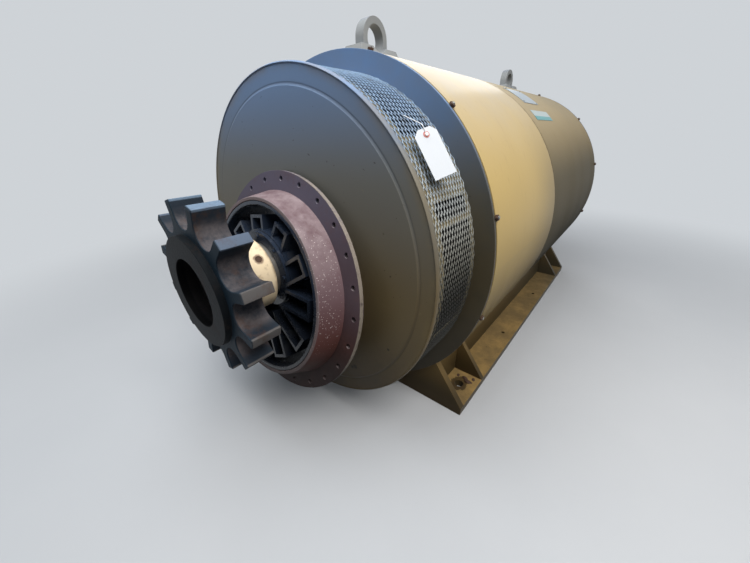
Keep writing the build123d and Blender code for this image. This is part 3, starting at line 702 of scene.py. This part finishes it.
def settle(piece, name, body, slot, *materials, angle=35):
    """Give a finished piece its name, finish, body and smoothing, with its place in its mesh."""
    only(piece)
    piece.name = name
    piece.data.name = name
    bpy.ops.object.transform_apply(location=True, rotation=True, scale=True)
    if materials:
        piece.data.materials.clear()
    for material in materials:
        piece.data.materials.append(material)
    bpy.ops.object.shade_smooth_by_angle(angle=math.radians(angle))
    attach(piece, body)


def soft_edged(node, name, body, slot, width, *materials):
    """A copy of a CAD node with its corners rounded, which stands for the node."""
    copy = bpy.data.objects.new(name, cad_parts[node].data.copy())
    bpy.context.scene.collection.objects.link(copy)
    edit(copy)
    bpy.ops.mesh.select_all(action="SELECT")
    bpy.ops.mesh.remove_doubles(threshold=0.00002)
    bpy.ops.mesh.customdata_custom_splitnormals_clear()
    bpy.ops.mesh.dissolve_limited(angle_limit=math.radians(0.2))
    done()
    modify(
        copy,
        "BEVEL",
        width=width,
        segments=2,
        limit_method="ANGLE",
        angle_limit=math.radians(SOFT_ABOVE),
        material=1 if len(materials) > 1 else -1,
    )
    settle(copy, name, body, slot, *materials)
    modify(copy, "WEIGHTED_NORMAL", keep_sharp=True)
    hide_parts(node)


def turned(centre_z, degrees):
    """A turn about the line along Y at a height."""
    centre = Matrix.Translation((0, 0, centre_z))
    return centre @ Matrix.Rotation(math.radians(degrees), 4, "Y") @ centre.inverted()


def joined(pieces):
    """Join several objects into the first."""
    bpy.ops.object.select_all(action="DESELECT")
    for piece in pieces:
        piece.select_set(True)
    bpy.context.view_layer.objects.active = pieces[0]
    bpy.ops.object.join()
    return pieces[0]


# Camera, lamps and floor
def make_camera():
    """The scene's camera, turned by yaw, pitch and roll."""
    ahead = Vector(
        (
            -math.sin(CAMERA_YAW) * math.cos(CAMERA_PITCH),
            math.cos(CAMERA_YAW) * math.cos(CAMERA_PITCH),
            -math.sin(CAMERA_PITCH),
        )
    )
    level = Vector((math.cos(CAMERA_YAW), math.sin(CAMERA_YAW), 0))
    above = level.cross(ahead)
    right = math.cos(CAMERA_ROLL) * level + math.sin(CAMERA_ROLL) * above
    up = right.cross(ahead)
    bpy.ops.object.camera_add()
    camera = bpy.context.object
    facing = Matrix((right, up, -ahead)).transposed().to_4x4()
    camera.matrix_world = Matrix.Translation(CAMERA_AT) @ facing
    camera.data.lens = CAMERA_LENS
    camera.data.sensor_width = SENSOR_WIDTH
    camera.data.clip_start = 0.02
    bpy.context.scene.camera = camera


def make_light(name, place, aim, size, power, tint):
    """A soft square lamp that faces a point and doesn't show itself."""
    bpy.ops.object.light_add(type="AREA", location=place)
    lamp = bpy.context.object
    lamp.name = name
    lamp.data.size = size
    lamp.data.energy = power
    lamp.data.color = tint
    lamp.rotation_euler = (Vector(aim) - Vector(place)).to_track_quat("-Z", "Y").to_euler()
    lamp.visible_camera = False


def make_studio():
    """Pale floor that fades into a pale background, and the lamps."""
    world = bpy.data.worlds.new("studio")
    bpy.context.scene.world = world
    world.use_nodes = True
    tree = world.node_tree
    shade = tree.nodes["Background"]
    shade.inputs["Color"].default_value = SKY
    shade.inputs["Strength"].default_value = SKY_STRENGTH
    shown = tree.nodes.new("ShaderNodeBackground")
    shown.inputs["Color"].default_value = BACKDROP
    shown.inputs["Strength"].default_value = 1.0
    path = tree.nodes.new("ShaderNodeLightPath")
    seen = path.outputs["Is Camera Ray"]
    for extra in ("Is Glossy Ray", "Is Transmission Ray"):
        widest = tree.nodes.new("ShaderNodeMath")
        widest.operation = "MAXIMUM"
        tree.links.new(seen, widest.inputs[0])
        tree.links.new(path.outputs[extra], widest.inputs[1])
        seen = widest.outputs[0]
    mix = tree.nodes.new("ShaderNodeMixShader")
    tree.links.new(seen, mix.inputs[0])
    tree.links.new(shade.outputs[0], mix.inputs[1])
    tree.links.new(shown.outputs[0], mix.inputs[2])
    tree.links.new(mix.outputs[0], tree.nodes["World Output"].inputs[0])

    bpy.ops.mesh.primitive_circle_add(vertices=96, radius=FLOOR_R, fill_type="NGON")
    floor = bpy.context.object
    floor.name = "floor"
    f = Finish("floor_pale", Roughness=0.8, Specular_IOR_Level=0.0, Emission_Strength=1.0)
    away = f.step((f.x * f.x + f.y * f.y).root(), FADE_FROM, FADE_TO)
    near = f.mix(f.noise(1.2, 6), srgb(182, 185, 189), srgb(196, 198, 201))
    straight = f.node("ShaderNodeLightPath", output="Is Camera Ray")
    mirrored = f.node("ShaderNodeLightPath", output="Is Glossy Ray")
    seen = straight.math("MAXIMUM", straight, mirrored)
    dim = f.mix(seen, srgb(92, 93, 96), near)
    f.feed("Base Color", f.mix(away, dim, (0, 0, 0, 1)))
    f.feed("Emission Color", f.mix(away * seen, (0, 0, 0, 1), BACKDROP))
    floor.data.materials.append(f.material)

    for lamp in LAMPS:
        make_light(*lamp)


# Expanded metal round each drum
def expanded_metal(node, name, material):
    """Diamond mesh: one diamond of strands, arrayed round and along, cut to the drum's depth."""
    low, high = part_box(node)
    wrap_r = (high.x - low.x) / 2 - STRAND_THICK / 2
    pitch = (high.y - low.y) / DIAMOND_ROWS
    half_turn = math.pi / DIAMONDS_ROUND
    side = wrap_r * math.sin(half_turn)
    top = AXIS_Z + wrap_r
    bpy.ops.mesh.primitive_circle_add(
        vertices=4, radius=1, fill_type="NGON", location=(0, low.y + pitch / 2, top)
    )
    diamond = bpy.context.object
    edit(diamond, "FACE")
    bpy.ops.mesh.select_all(action="SELECT")
    bpy.ops.transform.resize(value=(side, pitch / 2, 1))
    bpy.ops.mesh.inset(thickness=STRAND_HALF, use_even_offset=True)
    bpy.ops.mesh.delete(type="FACE")
    bpy.ops.mesh.select_mode(type="VERT")
    pick(diamond, lambda v: abs(v.x) > side * 0.98)
    bpy.ops.transform.translate(value=(0, 0, wrap_r * (math.cos(half_turn) - 1)))
    inner = pitch / 2 - STRAND_HALF / 2
    pick(diamond, lambda v: abs(v.x) < side / 9 and 0 < v.y < inner)
    bpy.ops.transform.translate(value=(0, 0, STRAND_TILT))
    pick(diamond, lambda v: abs(v.x) < side / 9 and -inner < v.y < 0)
    bpy.ops.transform.translate(value=(0, 0, -STRAND_TILT))
    done()
    only(diamond)
    bpy.ops.object.transform_apply(location=True, rotation=True, scale=True)
    bpy.ops.object.duplicate()
    beside = bpy.context.object
    back = Matrix.Translation((0, -pitch / 2, 0))
    beside.data.transform(turned(AXIS_Z, 180 / DIAMONDS_ROUND) @ back)
    joined([diamond, beside])
    turn = bpy.data.objects.new("diamond_turn", None)
    bpy.context.scene.collection.objects.link(turn)
    turn.matrix_world = turned(AXIS_Z, 360 / DIAMONDS_ROUND)
    bpy.context.view_layer.update()
    modify(
        diamond,
        "ARRAY",
        count=DIAMOND_ROWS + 1,
        use_relative_offset=False,
        use_constant_offset=True,
        constant_offset_displace=(0, pitch, 0),
    )
    modify(
        diamond,
        "ARRAY",
        count=DIAMONDS_ROUND,
        use_relative_offset=False,
        use_object_offset=True,
        offset_object=turn,
    )
    bpy.data.objects.remove(turn)
    edit(diamond)
    bpy.ops.mesh.select_all(action="SELECT")
    bpy.ops.mesh.remove_doubles(threshold=0.00005)
    bpy.ops.mesh.bisect(plane_co=(0, low.y, 0), plane_no=(0, 1, 0), clear_inner=True)
    bpy.ops.mesh.select_all(action="SELECT")
    bpy.ops.mesh.bisect(plane_co=(0, high.y, 0), plane_no=(0, 1, 0), clear_outer=True)
    bpy.ops.mesh.select_all(action="SELECT")
    bpy.ops.mesh.normals_make_consistent(inside=False)
    done()
    modify(diamond, "SOLIDIFY", thickness=STRAND_THICK, offset=0)
    settle(diamond, name, "frame", "screen_metal", material, angle=20)
    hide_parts(node)


# Small pieces
def lumps(node):
    """Middle of each separate solid in a CAD node."""
    mesh = bmesh.new()
    mesh.from_mesh(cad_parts[node].data)
    bmesh.ops.remove_doubles(mesh, verts=mesh.verts, dist=0.00005)
    left = set(mesh.verts)
    middles = []
    while left:
        found = [left.pop()]
        for vert in found:
            near = {edge.other_vert(vert) for edge in vert.link_edges} & left
            left -= near
            found.extend(near)
        low = Vector([min(vert.co[i] for vert in found) for i in range(3)])
        high = Vector([max(vert.co[i] for vert in found) for i in range(3)])
        middles.append((low + high) / 2)
    mesh.free()
    return sorted(middles, key=lambda middle: (middle.z, middle.x))


def out_from_axis(place, centre_z, spin=0.0):
    """Put a thing that stands on z = 0 at a place, standing out from a line along Y."""
    out = Vector((place.x, 0, place.z - centre_z)).normalized()
    turn = out.to_track_quat("Z", "Y").to_matrix().to_4x4()
    return Matrix.Translation(place) @ turn @ Matrix.Rotation(spin, 4, "Z")


def placed(source, matrices):
    """Copies of one object at several places, joined."""
    copies = []
    for matrix in matrices:
        copy = bpy.data.objects.new(source.name, source.data.copy())
        bpy.context.scene.collection.objects.link(copy)
        copy.data.transform(matrix)
        copies.append(copy)
    bpy.data.objects.remove(source)
    return joined(copies)


def peg(sides, radius, high):
    """A short peg that stands on z = 0."""
    bpy.ops.mesh.primitive_cylinder_add(
        vertices=sides, radius=radius, depth=high, location=(0, 0, high / 2)
    )
    made = bpy.context.object
    only(made)
    bpy.ops.object.transform_apply(location=True, rotation=True, scale=True)
    return made


def nut_on_stud(dark, bright):
    """A dark hexagon nut with rounded corners on a short bright stud."""
    nut = peg(6, NUT_R, NUT_HIGH)
    nut.data.materials.append(dark)
    stud = peg(16, STUD_R, STUD_HIGH)
    stud.data.materials.append(bright)
    corner = math.radians(40)
    for part in (nut, stud):
        modify(part, "BEVEL", width=NUT_SOFT, segments=1, limit_method="ANGLE", angle_limit=corner)
    return joined([nut, stud])


def end_nuts(node, name, dark, bright):
    """Nuts on studs round one end of the barrel."""
    places = []
    for middle in lumps(node):
        seat = middle.lerp(Vector((0, middle.y, AXIS_Z)), NUT_SINK / BARREL_R)
        places.append(out_from_axis(seat, AXIS_Z, random.uniform(0, 1)))
    nuts = placed(nut_on_stud(dark, bright), places)
    settle(nuts, name, "frame", "barrel_paint", angle=30)
    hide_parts(node)


def cover_lip(cover, name, inward, material):
    """Rolled edge round a drum cover, over the end of the screen."""
    low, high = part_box(cover)
    edge_y = low.y if inward > 0 else high.y
    bpy.ops.mesh.primitive_torus_add(
        location=(0, edge_y + inward * LIP_IN, AXIS_Z),
        rotation=(math.pi / 2, 0, 0),
        major_segments=192,
        minor_segments=12,
        major_radius=SCREEN_R - LIP_TUCK,
        minor_radius=LIP_R,
    )
    lip = bpy.context.object
    bpy.ops.transform.resize(value=(1, LIP_STRETCH, 1))
    settle(lip, name, "frame", "end_paint", material, angle=60)


def plate_rivets(material):
    """Flat rivets at the corners of the blank rating plate."""
    low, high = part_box("rating_plate")
    rivet = peg(20, RIVET_R, RIVET_HIGH)
    places = []
    face_r = BARREL_R + PLATE_OUT
    for turn in (PLATE_MIDDLE - PLATE_HALF, PLATE_MIDDLE + PLATE_HALF):
        for y in (low.y + RIVET_INSET, high.y - RIVET_INSET):
            angle = math.radians(turn)
            place = Vector((face_r * math.cos(angle), y, AXIS_Z + face_r * math.sin(angle)))
            places.append(out_from_axis(place, AXIS_Z))
    settle(placed(rivet, places), "plate_rivets", "frame", "plate_metal", material, angle=40)


def set_screw(material):
    """Rusty screw down in the collar's hole."""
    turn = math.radians(COLLAR_HOLE_TURN)
    seat = COLLAR_R - SCREW_DOWN
    place = Vector((seat * math.cos(turn), COLLAR_HOLE_Y, SHAFT_Z + seat * math.sin(turn)))
    screw = peg(24, SCREW_R, SCREW_HIGH)
    screw.data.transform(out_from_axis(place, SHAFT_Z))
    settle(screw, "collar_set_screw", "rotor", "collar_paint", material, angle=30)


def rust_flakes(material):
    """Ragged rusty scraps lying round the near foot's bolt hole."""
    grain = bpy.data.textures.new("flake_grain", "CLOUDS")
    grain.noise_scale = 0.012
    scraps = []
    for x, y, size in FLAKES:
        bpy.ops.mesh.primitive_ico_sphere_add(subdivisions=3, radius=size, location=(0, 0, 0))
        scrap = bpy.context.object
        bpy.ops.transform.resize(value=(1.0, 0.62, 0.14))
        bpy.ops.object.transform_apply(location=True, rotation=True, scale=True)
        modify(scrap, "DISPLACE", texture=grain, strength=size * 1.1, mid_level=0.5)
        turn = Matrix.Rotation(random.uniform(0, 3), 4, "Z")
        scrap.data.transform(Matrix.Translation((x, y, FOOT_TOP + size * 0.16)) @ turn)
        scraps.append(scrap)
    settle(joined(scraps), "rust_flakes", "frame", "foot_paint", material, angle=40)


# Build
make_camera()
make_studio()

near_barrel = barrel_enamel(
    "barrel_enamel",
    first=srgb(180, 154, 96),
    second=srgb(202, 175, 112),
    dust_and_sky_colour=srgb(150, 158, 172),
    dusty=0.6,
    shaded=0.5,
    grime_and_shade_colour=srgb(52, 41, 19),
    gloss=0.22,
)
# The rear sheet: the same gold-tan paint made greyer and darker as painted shade
shaded_far_barrel = barrel_enamel(
    "far_barrel_enamel",
    first=srgb(160, 142, 108),
    second=srgb(176, 157, 120),
    dust_and_sky_colour=srgb(140, 140, 134),
    dusty=0.6,
    shaded=0.93,
    grime_and_shade_colour=srgb(42, 42, 38),
    gloss=0.02,
)
ends = end_enamel()
rims = frame_enamel()
feet = worn_enamel("foot_enamel", srgb(150, 123, 76), srgb(166, 137, 87), srgb(98, 84, 60))
eyes = worn_enamel("eye_enamel", srgb(126, 129, 131), srgb(148, 151, 152), srgb(130, 136, 146))
screen = screen_enamel()
primer = ring_primer()
black = bracket_black()
bright = bright_edge()
steel = hub_steel()
cream = collar_enamel()
rust = rusty_steel()

# CAD nodes that show as they are, each with its finish
PLAIN = {
    "barrel_front": near_barrel,
    "barrel_rear": shaded_far_barrel,
    "front_drum_frame": rims,
    "rear_drum_frame": rims,
    "coupling_collar": cream,
    "shaft": shaft_steel(),
    "card_tag": tag_card_stock(),
    "tag_eyelet": eyelet_board(),
    "tag_string": string_cotton(),
    "side_label": label_print(),
    "rating_plate": plate_metal(),
    "bearing_cap": black,
}
for node, material in PLAIN.items():
    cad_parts[node].data.materials.clear()
    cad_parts[node].data.materials.append(material)

expanded_metal("front_drum_screen", "front_expanded_metal", screen)
expanded_metal("rear_drum_screen", "rear_expanded_metal", screen)

soft_edged("coupling_hub", "worn_coupling_hub", "rotor", "hub_steel", HUB_SOFT, steel, bright)
arm_end_highlights = bracket_edge()
soft_edged(
    "bearing_bracket", "bracket_casting", "frame", "bracket_black", BRACKET_SOFT, black, arm_end_highlights
)
soft_edged("adapter_flange", "worn_flange", "frame", "ring_primer", PLATE_SOFT, primer)
soft_edged("adapter_ring", "worn_ring", "frame", "ring_primer", PLATE_SOFT, primer)
for place in ("front", "rear"):
    sheet = place + "_cover_sheet"
    soft_edged(place + "_drum_cover", sheet, "frame", "end_paint", COVER_SOFT, ends)
    soft_edged(place + "_end_plate", place + "_end_sheet", "frame", "end_paint", PLATE_SOFT, ends)
    soft_edged(place + "_lifting_eye", place + "_cast_eye", "frame", "foot_paint", EYE_SOFT, eyes)
    soft_edged(place + "_saddle_plate", place + "_saddle", "frame", "foot_paint", PLATE_SOFT, feet)
for place in ("left", "right"):
    for kind in ("plate", "web", "gussets"):
        node = place + "_foot_" + kind
        soft_edged(node, place + "_" + kind + "_steel", "frame", "foot_paint", PLATE_SOFT, feet)
soft_edged("rear_bearing_cap", "rear_cap", "frame", "end_paint", PLATE_SOFT, ends)

end_nuts("front_cover_screws", "front_nuts", rust, bright)
end_nuts("rear_cover_screws", "rear_nuts", rust, bright)
cover_lip("front_drum_cover", "front_cover_lip", 1, ends)
cover_lip("rear_drum_cover", "rear_cover_lip", -1, ends)
plate_rivets(bright)
set_screw(rust)
rust_flakes(rust)

bpy.context.scene.view_settings.view_transform = "Standard"
